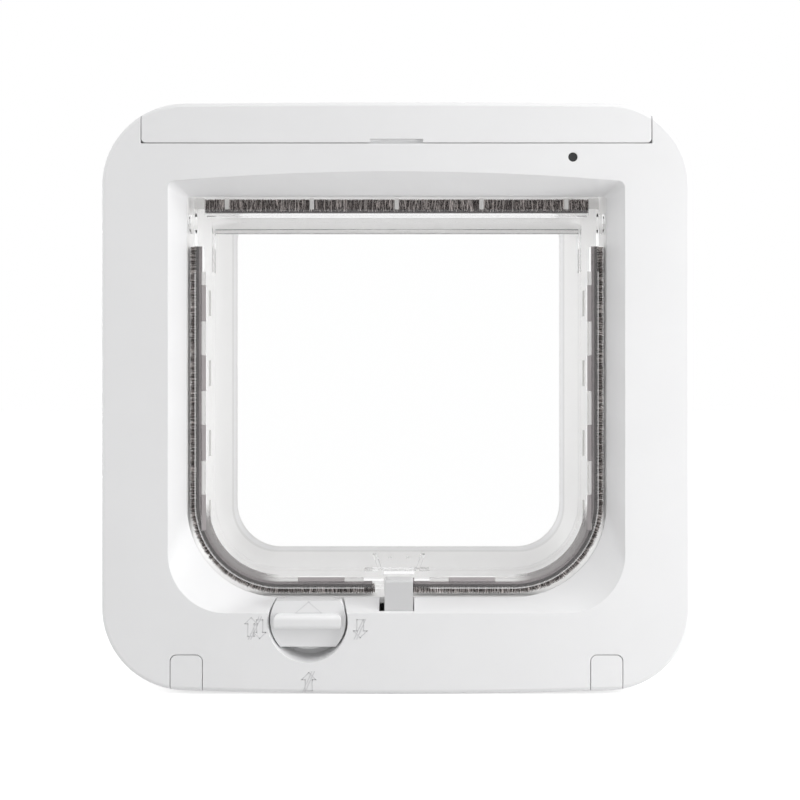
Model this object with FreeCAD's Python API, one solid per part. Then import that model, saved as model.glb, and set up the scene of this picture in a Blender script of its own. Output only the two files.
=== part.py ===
"""Cat flap with a battery frame on the room side, a tunnel through the door and an outer frame.

Sizes are in millimetres. X runs to the right and Y into the door, both seen from the room.
Z is up. The origin is at the middle of the frames, in the plane of the door's inner face.
"""
import FreeCAD, Part
import math
import os
from collections import namedtuple

from FreeCAD import Vector

# Both frames, seen from the front
frame_half_width = 105.0
frame_half_height = 105.35
frame_corner_r = 29.5
frame_crown_low = 1.25
frame_crown_high = 0.45
front_edge_r = 1.6
edge_steps = 2
frame_wall = 2.5

# Door that the tunnel passes through, and the outer frame
door_thickness = 68.8
exterior_depth = 14.6
exterior_edge_r = 4.0
exterior_rib = 1.8
exterior_rib_place = 35.0

# Sunk surround: the borders beside its wide front, and how far each side slopes in to the mouth
side_border = 23.9
top_border = 24.95
low_border = 28.95
side_slope = 4.5
top_slope = 7.0
low_slope = 3.6
surround_depth = 10.0
surround_wall = 2.2
face_opening_r_low = 20.8
face_opening_r_high = 2.5
face_opening_crown = 3.3
mouth_r_low = 34.0
mouth_r_high = 1.5
mouth_ring = 2.2

# Tunnel, coil and sleeve
tunnel_rise = 5.5
tunnel_r_low = 21.0
tunnel_r_high = 5.5
tunnel_wall = 2.3
tunnel_flange = 4.0
tunnel_flange_thick = 2.0
coil_thick = 1.0
coil_start = 10.0
coil_width = 14.0
sleeve_wall = 1.6
sleeve_lip = 2.0
fit_gap = 0.1
spigot_length = 8.0
back_plate_thick = 2.0

# Flap
flap_thick = 8.0
flap_side_gap = 0.4
flap_floor_gap = 0.6
flap_top_gap = 0.5
flap_lip_inset = 2.4
flap_channel_inset = 5.1
flap_inner_inset = 8.8
flap_lip_thick = 1.0
flap_panel_thick = 2.6
hinge_drop = 9.4
barrel_r = 3.9
pivot_disc_r = 3.7
pivot_pin_r = 2.0
pivot_pin_length = 3.8
pivot_gap = 0.05
bush_wall = 1.6
bush_length = 4.0
socket_wall = 2.2
side_pile_drop = 18.1
pile_gap = 0.05
window_length = 13.2
window_pitch = 25.5
window_first_drop = 39.0
window_last_rise = 30.0
window_width = 1.5
window_depth = 2.2
window_overlap = 0.2
clip_sink = 0.4
bottom_window_x = 27.5
bottom_window_length = 17.0
dash_inset = 8.0
dash_length = 9.4
dash_width = 0.7
top_cheek = 3.6
top_rib_pitch = 31.0
top_rib_width = 1.6
top_lip_height = 0.8
top_rim_gap = 0.2

# Striker under the flap, and the notch that clears the lowered latch
striker_half_top = 9.5
striker_half_low = 7.4
striker_height = 6.0
striker_wall = 1.3
striker_rib_x = 3.3
latch_notch_gap = 0.5
pile_notch_left = 9.1
pile_notch_right = 5.6

# Latch
latch_x = 0.8
latch_width = 10.2
latch_depth = 7.6
latch_rise = 7.8
latch_length = 23.0
latch_travel = 5.0
latch_front_wall = 1.4
latch_gap = 0.4
latch_left_gap = 1.9
latch_pocket_wall = 1.6
latch_edge_r = 0.9
plunger_r = 1.7
plunger_length = 15.0
plunger_grip = 3.0
solenoid_length = 9.9
solenoid_half_width = 10.0
solenoid_depth = 9.0
solenoid_floor = 0.6
solenoid_top_gap = 0.5
spring_wire_r = 0.3
spring_wire_sides = 4
spring_steps_per_turn = 7
latch_spring_turns = 4

# Lock knob and cam
lock_x = -31.6
lock_drop = 6.8
dish_r = 14.3
dish_floor_r = 13.8
dish_wall = 1.8
dish_floor_thick = 2.0
knob_r = 13.55
knob_sink = 2.4
knob_thick = 4.0
knob_hub_r = 11.3
knob_flat_high = 7.2
knob_flat_low = 9.3
grip_length = 24.0
grip_width = 5.3
grip_height = 3.2
grip_edge_r = 1.8
lock_shaft_r = 4.0
lock_gap = 0.6
cam_r = 13.0
cam_thick = 3.0
cam_flat = 6.2
cam_screw_r = 1.5
cam_screw_grip = 7.0
cam_screw_head_r = 3.0
cam_screw_head_height = 1.8
cam_screw_slot_width = 0.8
cam_screw_slot_depth = 0.8
cam_slot_rise = 5.0

# Battery cover and bays
cover_end_inset = 14.5
cover_height = 14.7
cover_wrap = 28.0
cover_thick = 2.2
cover_gap = 0.3
cover_corner_r = 1.5
cover_slot_half = 9.4
cover_slot_height = 1.3
cover_slot_depth = 1.2
cell_length = 50.5
cell_r = 7.25
cell_gap = 0.2
cell_nub_r = 2.75
cell_nub_length = 1.2
cell_end_gap = 0.6
cell_back_gap = 0.4
bay_floor = 2.0
bay_end_wall = 2.0
bay_screw_gap = 0.65
contact_thick = 0.6
contact_size = 12.0
cell_spring_length = 3.7
cell_spring_r_wide = 4.6
cell_spring_r_narrow = 2.4
cell_spring_turns = 3
shoulder_reach = 2.0

# Status light, circuit board and learn button
status_side_inset = 42.4
status_drop = 19.85
status_hole_r = 1.65
status_lens_inset = 0.2
status_led_r = 1.0
status_led_length = 3.4
status_led_gap = 0.3
status_led_play = 0.25
led_leg_pitch = 1.0
led_leg_width = 0.4
led_leg_depth = 0.6
board_thick = 1.6
board_length = 68.0
board_past_led = 13.4
board_front_gap = 3.0
board_depth = 22.0
board_rest_height = 0.9
board_rest_size = 4.0
chip_height = 1.1
chip_places = ((12.0, 5.0, 14.0, 10.0), (32.0, 4.0, 9.0, 9.0))
deck_inset = 5.0
deck_thick = 2.0
button_drop = 10.35
button_r = 3.0
button_stroke = 1.0
button_proud = 0.8
button_tube_length = 4.6
button_flange = 0.8
button_flange_thick = 1.4
button_tube_wall = 1.2
switch_r = 4.1
switch_length = 3.0
switch_gap = 0.3

# Screws
mount_screw_r = 2.0
mount_head_r = 3.8
mount_head_height = 2.8
mount_seat_y = -10.0
mount_hole_gap = 0.2
mount_access_gap = 0.25
mount_boss_wall = 1.3
mount_screw_grip = 9.2
mount_slot_length = 4.8
mount_slot_width = 1.0
mount_slot_depth = 1.7
top_screw_inset = 19.0
top_screw_drop = 10.45
low_screw_inset = 30.4
low_screw_rise = 8.45

# Screw covers
cap_width = 11.2
cap_height = 14.05
cap_thick = 2.0
cap_wrap = 8.0
cap_corner_r = 2.2
cap_gap = 0.25
cap_peg_length = 4.0
cap_peg_thick = 1.4

# Length of a bay and depth of the casing, worked out from the cells: one before the other in each bay
bay_length = 2 * contact_thick + cell_spring_length + cell_length + cell_end_gap
front_frame_depth = frame_wall + 4 * cell_r + cell_gap / 2 + cell_back_gap + back_plate_thick

# Reach of the surround, the mouth and the tunnel, worked out from the frame's size and its borders
face_opening_half_width = frame_half_width - side_border
face_opening_low = frame_half_height - low_border
face_opening_high = frame_half_height - top_border
tunnel_half_width = face_opening_half_width - side_slope
mouth_low = face_opening_low - low_slope
mouth_high = face_opening_high - top_slope
tunnel_high = mouth_high + tunnel_rise

# Planes along the depth
face_y = -front_frame_depth
face_inner_y = face_y + frame_wall
mouth_y = face_y + surround_depth
flap_y = mouth_y + flap_thick / 2
flap_back_y = mouth_y + flap_thick
exterior_y = door_thickness
exterior_face_y = exterior_y + exterior_depth
far = 400.0
tolerance = 0.001
smallest_corner_r = 0.2

Outline = namedtuple("Outline", "half_width low high r_low r_high crown_low crown_high")

frame_outline = Outline(
    frame_half_width, -frame_half_height, frame_half_height,
    frame_corner_r, frame_corner_r, frame_crown_low, frame_crown_high)
face_opening = Outline(
    face_opening_half_width, -face_opening_low, face_opening_high,
    face_opening_r_low, face_opening_r_high, 0.0, face_opening_crown)
mouth = Outline(
    tunnel_half_width, -mouth_low, mouth_high, mouth_r_low, mouth_r_high, 0.0, 0.0)
tunnel_bore = Outline(
    tunnel_half_width, -mouth_low, tunnel_high, tunnel_r_low, tunnel_r_high, 0.0, 0.0)
flap_outline = Outline(
    tunnel_half_width - flap_side_gap, -mouth_low + flap_floor_gap, mouth_high - flap_top_gap,
    mouth_r_low - flap_side_gap, mouth_r_high, 0.0, 0.0)


def grown(outline, amount):
    """The outline with every edge moved out by the amount, corners kept round."""
    return Outline(
        outline.half_width + amount, outline.low - amount, outline.high + amount,
        max(outline.r_low + amount, smallest_corner_r), max(outline.r_high + amount, smallest_corner_r),
        outline.crown_low, outline.crown_high)


def between(first, second, share):
    """The outline part of the way from the first to the second."""
    return Outline(*[a + (b - a) * share for a, b in zip(first, second)])


def corner_arc(centre, radius, start, end):
    """Arc of a corner, its angles in radians from straight up, clockwise."""
    points = []
    for angle in (start, (start + end) / 2, end):
        points.append(centre + Vector(radius * math.sin(angle), 0, radius * math.cos(angle)))
    return Part.Arc(*points).toShape(), points[0], points[-1]


def crown_edge(start, end, crown_z):
    """Top or bottom edge: an arc through the crown, or a straight line without one."""
    if abs(crown_z - start.z) < tolerance:
        return Part.LineSegment(start, end).toShape()
    return Part.Arc(start, Vector(0, start.y, crown_z), end).toShape()


def outline_wire(outline, y):
    """Closed wire of an outline in the plane at y."""
    x_low = outline.half_width - outline.r_low
    x_high = outline.half_width - outline.r_high
    lean_low = 2 * math.atan(outline.crown_low / x_low)
    lean_high = 2 * math.atan(outline.crown_high / x_high)
    z_low = outline.low + outline.crown_low + outline.r_low
    z_high = outline.high - outline.crown_high - outline.r_high
    half = math.pi / 2
    right_high, a, b = corner_arc(Vector(x_high, y, z_high), outline.r_high, lean_high, half)
    right_low, c, d = corner_arc(Vector(x_low, y, z_low), outline.r_low, half, 2 * half - lean_low)
    left_low, e, f = corner_arc(Vector(-x_low, y, z_low), outline.r_low, 2 * half + lean_low, 3 * half)
    left_high, g, h = corner_arc(Vector(-x_high, y, z_high), outline.r_high, 3 * half, 4 * half - lean_high)
    return Part.Wire([
        right_high, Part.LineSegment(b, c).toShape(),
        right_low, crown_edge(d, e, outline.low),
        left_low, Part.LineSegment(f, g).toShape(),
        left_high, crown_edge(h, a, outline.high)])


def prism(outline, y_start, y_end):
    """Solid of an outline from one depth to another."""
    return Part.Face(outline_wire(outline, y_start)).extrude(Vector(0, y_end - y_start, 0))


def ring(outer, inner, y_start, y_end):
    """Solid between two outlines."""
    return prism(outer, y_start, y_end).cut(prism(inner, y_start - 1, y_end + 1))


def rounded_prism(outline, y_edge, y_end, radius):
    """Solid of an outline, its rim at y_edge rounded in short slopes."""
    inward = math.copysign(1, y_end - y_edge)
    wires = []
    for step in range(edge_steps + 1):
        angle = math.pi / 2 * step / edge_steps
        inset = radius * (1 - math.sin(angle))
        depth = radius * (1 - math.cos(angle))
        wires.append(outline_wire(grown(outline, -inset), y_edge + inward * depth))
    rim = Part.makeLoft(wires, True, True)
    return rim.fuse(prism(outline, y_edge + inward * radius, y_end)).removeSplitter()


def funnel(first, y_first, second, y_second, y_start, y_end):
    """Solid whose outline changes evenly with depth, from y_start to y_end."""
    span = y_second - y_first
    wires = []
    for y in (y_start, y_end):
        wires.append(outline_wire(between(first, second, (y - y_first) / span), y))
    return Part.makeLoft(wires, True, True)


def block(x_start, x_end, y_start, y_end, z_start, z_end):
    """Box between the given limits."""
    size = (x_end - x_start, y_end - y_start, z_end - z_start)
    return Part.makeBox(*size, Vector(x_start, y_start, z_start))


def rod(radius, x, z, y_start, y_end):
    """Round bar along Y."""
    return Part.makeCylinder(radius, y_end - y_start, Vector(x, y_start, z), Vector(0, 1, 0))


def cross_rod(radius, x_start, x_end, y, z):
    """Round bar along X."""
    return Part.makeCylinder(radius, x_end - x_start, Vector(x_start, y, z), Vector(1, 0, 0))


def fused(first, *others):
    """One solid from pieces that overlap."""
    return first.fuse(list(others)).removeSplitter()


def upright_edges(shape, x_limit_low, x_limit_high, z_low, z_high):
    """Edges along Y that stand inside a window of X and Z."""
    found = []
    for edge in shape.Edges:
        box = edge.BoundBox
        along_y = box.YLength > tolerance > max(box.XLength, box.ZLength)
        inside = x_limit_low < box.XMin and box.XMax < x_limit_high
        if along_y and inside and z_low < box.ZMin and box.ZMax < z_high:
            found.append(edge)
    return found


def mirrored(shape):
    """The same shape on the other side of the middle plane."""
    return shape.mirror(Vector(0, 0, 0), Vector(1, 0, 0))


def casing_solid(inset):
    """Outside of the room-side casing, moved in by a wall's thickness."""
    if inset > 0:
        return prism(grown(frame_outline, -inset), face_y + inset, 0)
    return rounded_prism(frame_outline, face_y, 0, front_edge_r)


def casing_skin(thickness):
    """Front wall and rim of the room-side casing, as one skin."""
    return casing_solid(0).cut(prism(grown(frame_outline, -thickness), face_y + thickness, far))


def mount_screw_places():
    """Middles of the four long screws that hold the frames together."""
    return [
        (-top_screw_x, top_screw_z), (top_screw_x, top_screw_z),
        (-low_screw_x, low_screw_z), (low_screw_x, low_screw_z)]


# Places of the screws, the cover and the bays, from the frames' edges
mount_access_r = mount_head_r + mount_access_gap
mount_boss_r = mount_access_r + mount_boss_wall
top_screw_x = frame_half_width - top_screw_inset
top_screw_z = frame_half_height - top_screw_drop
low_screw_x = frame_half_width - low_screw_inset
low_screw_z = low_screw_rise - frame_half_height
cap_high_z = cap_height - frame_half_height
cover_half_width = frame_half_width - cover_end_inset
cover_low_z = frame_half_height - cover_height
shoulder_end = cover_half_width + shoulder_reach
bay_start = top_screw_x - mount_boss_r - bay_screw_gap - bay_length
button_z = frame_half_height - button_drop
status_x = frame_half_width - status_side_inset
status_z = frame_half_height - status_drop
board_end_x = status_x + board_past_led
board_start_x = board_end_x - board_length

# Heights of the battery bays and of the board under them, from the casing's top edge down
back_plate_y = -back_plate_thick
bay_ceiling_z = frame_half_height - frame_crown_high - cover_thick - cover_gap
cell_z = bay_ceiling_z - cell_gap - cell_r
bay_floor_z = cell_z - cell_r - cell_gap
front_cell_y = face_inner_y + cell_r
back_cell_y = front_cell_y + 2 * cell_r + cell_gap / 2
tunnel_top_z = tunnel_high + tunnel_wall
board_z = tunnel_top_z + board_rest_height
board_front_y = face_inner_y + board_front_gap
board_end_y = board_front_y + board_depth
deck_y = face_y + deck_inset

# Heights on the flap, from the mouth's top edge down
hinge_z = mouth_high - hinge_drop
side_pile_high = mouth_high - side_pile_drop
window_first_z = mouth_high - window_first_drop
window_last_z = window_last_rise - mouth_low
flap_top_z = flap_outline.high - top_rim_gap
top_pile_half_length = flap_outline.half_width - flap_lip_inset - top_cheek

# Places of the latch and the lock
latch_top_z = latch_rise - mouth_low
lock_z = -mouth_low - lock_drop
latch_front_y = face_y + latch_front_wall + fit_gap
latch_back_y = latch_front_y + latch_depth
latch_y = (latch_front_y + latch_back_y) / 2
latch_low_z = latch_top_z - latch_length
solenoid_top_z = latch_low_z - latch_travel + solenoid_top_gap
knob_front_y = face_y + knob_sink
hub_front_y = knob_front_y + knob_thick
hub_back_y = mouth_y - lock_gap
cam_y = flap_back_y + lock_gap
floor_under_z = -mouth_low - tunnel_wall
rim_inner_z = flap_outline.low + flap_inner_inset


def battery_tray():
    """Bays for the cells, the deck between them and the shoulders that carry the cover's ends."""
    tray = casing_solid(frame_wall).common(
        block(-shoulder_end, shoulder_end, face_inner_y, back_plate_y, bay_floor_z - bay_floor, far))
    hollow = prism(grown(frame_outline, -2 * frame_wall), deck_y + deck_thick, far)
    bay_end = bay_start + bay_length
    pocket_start = bay_end + bay_end_wall
    bay = block(bay_start, bay_end, face_y, far, bay_floor_z, far)
    shoulder = hollow.common(
        block(pocket_start, shoulder_end - bay_end_wall, face_y, far, bay_floor_z, far))
    deck_front = block(bay_end_wall - bay_start, bay_start - bay_end_wall, face_y, deck_y, bay_floor_z, far)
    deck_back = hollow.common(
        block(bay_end_wall - bay_start, bay_start - bay_end_wall, face_y, far, bay_floor_z, far))
    return tray.cut([bay, mirrored(bay), shoulder, mirrored(shoulder), deck_front, deck_back])


def button_tube():
    """Guide of the learn button behind the deck, and the seat of its switch."""
    back = deck_y + deck_thick + button_tube_length + switch_length
    return rod(switch_r + button_tube_wall, 0, button_z, deck_y, back)


def button_bore():
    """Hole through the deck for the button, wider behind it for the flange and the switch."""
    narrow = rod(button_r + fit_gap, 0, button_z, face_y, 0)
    wide = rod(switch_r + fit_gap / 2, 0, button_z, deck_y + deck_thick, 0)
    return narrow.fuse(wide)


def cover_opening():
    """What the battery cover's place takes out of the casing."""
    side = cover_half_width + cover_gap
    room = block(-side, side, face_y - 1, face_y + cover_wrap + cover_gap, cover_low_z - cover_gap, far)
    return casing_skin(cover_thick + cover_gap).common(room)


def cap_room(side, gap):
    """Rounded space of a screw cover, seen from the front."""
    half = cap_width / 2 + gap
    x = side * low_screw_x
    room = block(x - half, x + half, face_y - 1, face_y + cap_wrap + gap, -far, cap_high_z + gap)
    corners = upright_edges(room, x - half - 1, x + half + 1, cap_high_z - 1, far)
    return room.makeFillet(cap_corner_r + gap, corners)


def make_front_frame():
    """Room-side casing: skin, sunk surround, bays, lock dish, latch pocket and bosses."""
    skin = casing_skin(frame_wall)
    surround = funnel(
        grown(face_opening, surround_wall), face_y, grown(mouth, surround_wall), mouth_y,
        face_y + front_edge_r, mouth_y)
    mouth_plate = prism(grown(tunnel_bore, tunnel_wall), mouth_y - mouth_ring, mouth_y)
    dish_shell = Part.makeCone(
        dish_r + dish_wall, dish_floor_r + dish_wall, mouth_y + dish_floor_thick - face_inner_y,
        Vector(lock_x, face_inner_y, lock_z), Vector(0, 1, 0))
    under_floor = block(-far, far, mouth_y, far, floor_under_z, far)
    dish_shell = dish_shell.cut(under_floor)
    pocket_low = latch_low_z - latch_pocket_wall
    pocket_left = latch_x - latch_width / 2 - latch_left_gap
    pocket_right = latch_x + latch_width / 2 + latch_gap
    pocket_shell = block(
        pocket_left - latch_pocket_wall, pocket_right + latch_pocket_wall,
        face_inner_y, mouth_y + latch_pocket_wall, pocket_low, floor_under_z)
    bosses = []
    for x, z in mount_screw_places():
        bosses.append(rod(mount_boss_r, x, z, face_inner_y, back_plate_y))
    bosses.append(button_tube())
    frame = skin.fuse([surround, mouth_plate, battery_tray(), dish_shell, pocket_shell] + bosses)
    frame = frame.common(casing_solid(0))

    cuts = [
        funnel(face_opening, face_y, mouth, mouth_y, face_y - 1, mouth_y + 1),
        Part.makeCone(
            dish_r, dish_floor_r, surround_depth, Vector(lock_x, face_y, lock_z), Vector(0, 1, 0)),
        rod(lock_shaft_r + pivot_gap, lock_x, lock_z, face_y, 0),
        block(
            pocket_left, pocket_right, latch_front_y - fit_gap, mouth_y, pocket_low - 1, 0),
        block(
            pocket_left, latch_x - latch_width / 2, mouth_y - 1, mouth_y + latch_pocket_wall + 1,
            pocket_low - 1, floor_under_z),
        rod(status_hole_r, status_x, status_z, face_y - 1, face_inner_y),
        rod(
            status_led_r + status_led_play, status_x, status_z,
            face_inner_y, board_front_y + status_led_length),
        button_bore(), cover_opening()]
    for x, z in mount_screw_places():
        cuts.append(rod(mount_access_r, x, z, face_y - 1, mount_seat_y))
        cuts.append(rod(mount_screw_r + mount_hole_gap, x, z, face_y, 0))
    for side in (-1, 1):
        cuts.append(casing_skin(cap_thick + cap_gap).common(cap_room(side, cap_gap)))
    return frame.cut(cuts).removeSplitter()


def make_back_plate():
    """Plate that closes the casing against the door, with the tunnel through it."""
    plate = ring(
        grown(frame_outline, -frame_wall - fit_gap), grown(tunnel_bore, tunnel_wall + fit_gap),
        back_plate_y, 0)
    cuts = []
    for x, z in mount_screw_places():
        cuts.append(rod(mount_screw_r + mount_hole_gap, x, z, -far, far))
    return plate.cut(cuts)


def socket_shape(radius, x_start, x_end):
    """Round-ended slot, open to the front, on the flap's axis."""
    slot = block(x_start, x_end, mouth_y, flap_y, hinge_z - radius, hinge_z + radius)
    return fused(cross_rod(radius, x_start, x_end, flap_y, hinge_z), slot)


def make_tunnel():
    """Tube through the door, with the flap's sockets and the slot of the lock cam."""
    tube_outer = grown(tunnel_bore, tunnel_wall)
    tube = prism(tube_outer, mouth_y, exterior_y)
    flange = prism(grown(tube_outer, tunnel_flange), back_plate_y - tunnel_flange_thick, back_plate_y)
    parts = [flange]
    wall_outside = tunnel_half_width + tunnel_wall
    socket_end = tunnel_half_width + bush_length
    bush_r = pivot_pin_r + pivot_gap + bush_wall
    for side in (-1, 1):
        start, end = sorted((side * (wall_outside - 1), side * socket_end))
        parts.append(block(
            start, end, mouth_y, flap_y + bush_r + socket_wall,
            hinge_z - bush_r - socket_wall, hinge_z + bush_r + socket_wall))
    for x in (board_start_x + board_rest_size, board_end_x - board_rest_size):
        for y in (mouth_y + board_rest_size, board_end_y - board_rest_size):
            parts.append(block(
                x - board_rest_size / 2, x + board_rest_size / 2,
                y - board_rest_size / 2, y + board_rest_size / 2, tunnel_high + 1, board_z))
    tube = tube.fuse(parts)
    cuts = [prism(tunnel_bore, mouth_y - 1, exterior_y + 1)]
    for side in (-1, 1):
        start, end = sorted((side * (tunnel_half_width - 1), side * socket_end))
        cuts.append(socket_shape(bush_r, start, end))
    cuts.append(block(
        lock_x - cam_r - lock_gap, lock_x + cam_r + lock_gap,
        cam_y - lock_gap / 2, cam_y + cam_thick + lock_gap / 2, -far, cam_slot_rise - mouth_low))
    return tube.cut(cuts).removeSplitter()


def make_hinge_bush(side):
    """Bearing of one stub pin, slid into its socket from the front."""
    start, end = sorted((side * tunnel_half_width, side * (tunnel_half_width + bush_length)))
    bush = socket_shape(pivot_pin_r + pivot_gap + bush_wall, start, end)
    return bush.cut(cross_rod(pivot_pin_r + pivot_gap, start - 1, end + 1, flap_y, hinge_z))


def make_antenna_coil():
    """Winding of the chip reader, wound flat round the tunnel."""
    inner = grown(tunnel_bore, tunnel_wall + fit_gap)
    return ring(grown(inner, coil_thick), inner, coil_start, coil_start + coil_width)


def sleeve_inner():
    """Inside of the sleeve, clear of the coil."""
    return grown(tunnel_bore, tunnel_wall + 2 * fit_gap + coil_thick)


def make_tunnel_sleeve():
    """Outer skin of the tunnel over the coil, with a lip on the tunnel at each end."""
    end = exterior_y - spigot_length - fit_gap
    outer = grown(sleeve_inner(), sleeve_wall)
    touch = grown(tunnel_bore, tunnel_wall + fit_gap)
    tube = ring(outer, sleeve_inner(), 0, end)
    return fused(tube, ring(outer, touch, 0, sleeve_lip), ring(outer, touch, end - sleeve_lip, end))


def make_exterior_frame():
    """Outer frame: a hollow plate with a collar on the tunnel's end, bosses and ribs."""
    plate = rounded_prism(frame_outline, exterior_face_y, exterior_y, exterior_edge_r)
    cavity = prism(grown(frame_outline, -frame_wall), exterior_y - 1, exterior_face_y - frame_wall)
    room = block(-far, far, exterior_y, exterior_face_y - frame_wall / 2, -far, far)
    spigot = grown(sleeve_inner(), sleeve_wall)
    inside = [
        prism(grown(tunnel_bore, tunnel_wall), exterior_y, exterior_face_y - 1),
        prism(spigot, exterior_y, exterior_y + frame_wall)]
    for x, z in mount_screw_places():
        inside.append(rod(mount_boss_r, x, z, exterior_y, exterior_face_y - 1))
    for place in (-exterior_rib_place, exterior_rib_place):
        start, end = place - exterior_rib / 2, place + exterior_rib / 2
        inside.append(block(start, end, exterior_y, exterior_face_y - 1, -far, far))
        inside.append(block(-far, far, exterior_y, exterior_face_y - 1, start, end))
    core = inside[0].fuse(inside[1:]).common(room).common(plate)
    frame = plate.cut(cavity).fuse(core)
    frame = frame.fuse(prism(spigot, exterior_y - spigot_length, exterior_y))
    cuts = [
        prism(tunnel_bore, exterior_y - 1, exterior_face_y + 1),
        prism(grown(tunnel_bore, tunnel_wall + fit_gap), exterior_y - spigot_length - 1, exterior_y)]
    for x, z in mount_screw_places():
        cuts.append(rod(mount_screw_r + pivot_gap, x, z, exterior_y - 1, exterior_y + mount_screw_grip + 1))
    return frame.cut(cuts).removeSplitter()


def on_both_sides(boxes):
    """The given shapes and their mirror images."""
    return boxes + [mirrored(shape) for shape in boxes]


def window_heights():
    """Middles of the windows along each side, from the top one down."""
    rows_below_first = int((window_first_z - window_last_z) / window_pitch)
    return [window_first_z - index * window_pitch for index in range(rows_below_first + 1)]


def rim_windows(gap, y_start):
    """Rooms beside the pile's channel, smaller by the gap: a row at each side, two at the bottom."""
    side = flap_outline.half_width - flap_channel_inset
    low = flap_outline.low + flap_channel_inset
    y_end = mouth_y + window_depth - gap
    reach = window_width - gap
    overlap = window_overlap - gap
    half = window_length / 2 - gap
    rooms = []
    for z in window_heights():
        rooms.append(block(side - reach, side + overlap, y_start, y_end, z - half, z + half))
    half = bottom_window_length / 2 - gap
    rooms.append(block(
        bottom_window_x - half, bottom_window_x + half, y_start, y_end, low - overlap, low + reach))
    return on_both_sides(rooms)


def rim_dashes():
    """Short grooves in the rim beside the windows."""
    side = flap_outline.half_width - dash_inset
    grooves = []
    for z in window_heights():
        grooves.append(block(
            side - dash_width / 2, side + dash_width / 2, mouth_y - 1, mouth_y + flap_lip_thick,
            z - dash_length / 2, z + dash_length / 2))
    return on_both_sides(grooves)


def pile_room(gap):
    """Channel of the pile round the sides and the bottom of the flap."""
    channel = ring(
        grown(flap_outline, 2), grown(flap_outline, -flap_channel_inset),
        mouth_y + flap_lip_thick + gap, flap_back_y - flap_lip_thick - gap)
    return channel.common(block(-far, far, -far, far, -far, side_pile_high - gap))


def make_flap_door():
    """Clear flap: panel, rim with the pile's channel, hinge barrel, stub pins and striker."""
    lip = grown(flap_outline, -flap_lip_inset)
    inner = grown(flap_outline, -flap_inner_inset)
    rim = prism(lip, mouth_y, flap_back_y)
    rim = rim.common(block(-far, far, -far, far, -far, hinge_z))
    opening = prism(inner, mouth_y - 1, flap_back_y + 1)
    opening = opening.common(block(-far, far, -far, far, -far, hinge_z))
    rim = rim.cut([opening, pile_room(0)] + rim_windows(0, mouth_y - 1) + rim_dashes())
    panel = prism(grown(inner, 0.5), flap_y - flap_panel_thick / 2, flap_y + flap_panel_thick / 2)
    panel = panel.common(block(-far, far, -far, far, -far, hinge_z))
    barrel = cross_rod(barrel_r, -lip.half_width, lip.half_width, flap_y, hinge_z)
    back_wall = block(
        -lip.half_width, lip.half_width, flap_back_y - flap_lip_thick, flap_back_y,
        hinge_z, flap_top_z)
    pieces = [panel, barrel, back_wall] + pivots(lip.half_width) + top_ribs() + striker()
    door = rim.fuse(pieces)
    notch = block(
        latch_x - latch_width / 2 - latch_notch_gap, latch_x + latch_width / 2 + latch_notch_gap,
        -far, far, -far, latch_top_z + latch_notch_gap)
    return door.cut(notch).removeSplitter()


def pivots(disc_start):
    """Discs and stub pins at both ends of the barrel."""
    disc = cross_rod(pivot_disc_r, disc_start - 1, flap_outline.half_width, flap_y, hinge_z)
    pin_end = flap_outline.half_width + pivot_pin_length
    pin = cross_rod(pivot_pin_r, disc_start, pin_end, flap_y, hinge_z)
    return on_both_sides([disc, pin])


def top_ribs():
    """Bars in front of the top pile, and the lip along its foot."""
    lip = block(
        -top_pile_half_length, top_pile_half_length, mouth_y, mouth_y + flap_lip_thick,
        hinge_z, hinge_z + barrel_r + top_lip_height)
    bars = [lip]
    ribs_each_side = int(top_pile_half_length / top_rib_pitch)
    for index in range(-ribs_each_side, ribs_each_side + 1):
        x = index * top_rib_pitch
        bars.append(block(
            x - top_rib_width / 2, x + top_rib_width / 2, mouth_y, mouth_y + flap_lip_thick,
            hinge_z, flap_top_z))
    end = top_pile_half_length + top_cheek
    cheek = block(top_pile_half_length, end, mouth_y, flap_back_y, hinge_z, flap_top_z)
    return bars + on_both_sides([cheek])


def striker_outline(inset, low, high):
    """Upright funnel shape of the striker, its slanted sides moved in by a wall."""
    slope = (striker_half_top - striker_half_low) / striker_height
    half_low = striker_half_low + slope * (low - rim_inner_z) - inset
    half_high = striker_half_low + slope * (high - rim_inner_z) - inset
    corners = [
        Vector(latch_x - half_low, mouth_y, low), Vector(latch_x + half_low, mouth_y, low),
        Vector(latch_x + half_high, mouth_y, high), Vector(latch_x - half_high, mouth_y, high)]
    return Part.Face(Part.makePolygon(corners + corners[:1])).extrude(Vector(0, flap_thick / 2, 0))


def striker():
    """Funnel-shaped catch over the latch: two slanted walls on the rim, with ribs between them."""
    high = rim_inner_z + striker_height
    walls = striker_outline(0, rim_inner_z - 1, high).cut(
        striker_outline(striker_wall, rim_inner_z, high + 1))
    pieces = [walls]
    for x in (latch_x - striker_rib_x, latch_x + striker_rib_x):
        pieces.append(block(
            x - striker_wall / 2, x + striker_wall / 2, mouth_y + flap_lip_thick, flap_y,
            rim_inner_z - 1, high - striker_wall))
    return pieces


def make_edge_brush():
    """Pile round both sides and the bottom of the flap, its clips in the windows, a gap over the latch."""
    pile = prism(flap_outline, mouth_y, flap_back_y).common(pile_room(pile_gap))
    pile = pile.fuse(rim_windows(pile_gap, mouth_y + clip_sink)).removeSplitter()
    notch = block(
        latch_x - pile_notch_left, latch_x + pile_notch_right, -far, far, -far, latch_top_z + 2)
    return pile.cut(notch)


def make_top_brush():
    """Pile along the flap's top edge, behind the bars."""
    return block(
        -top_pile_half_length + pile_gap, top_pile_half_length - pile_gap,
        mouth_y + flap_lip_thick + pile_gap, flap_back_y - flap_lip_thick - pile_gap,
        hinge_z + barrel_r + pile_gap, flap_outline.high)


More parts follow.
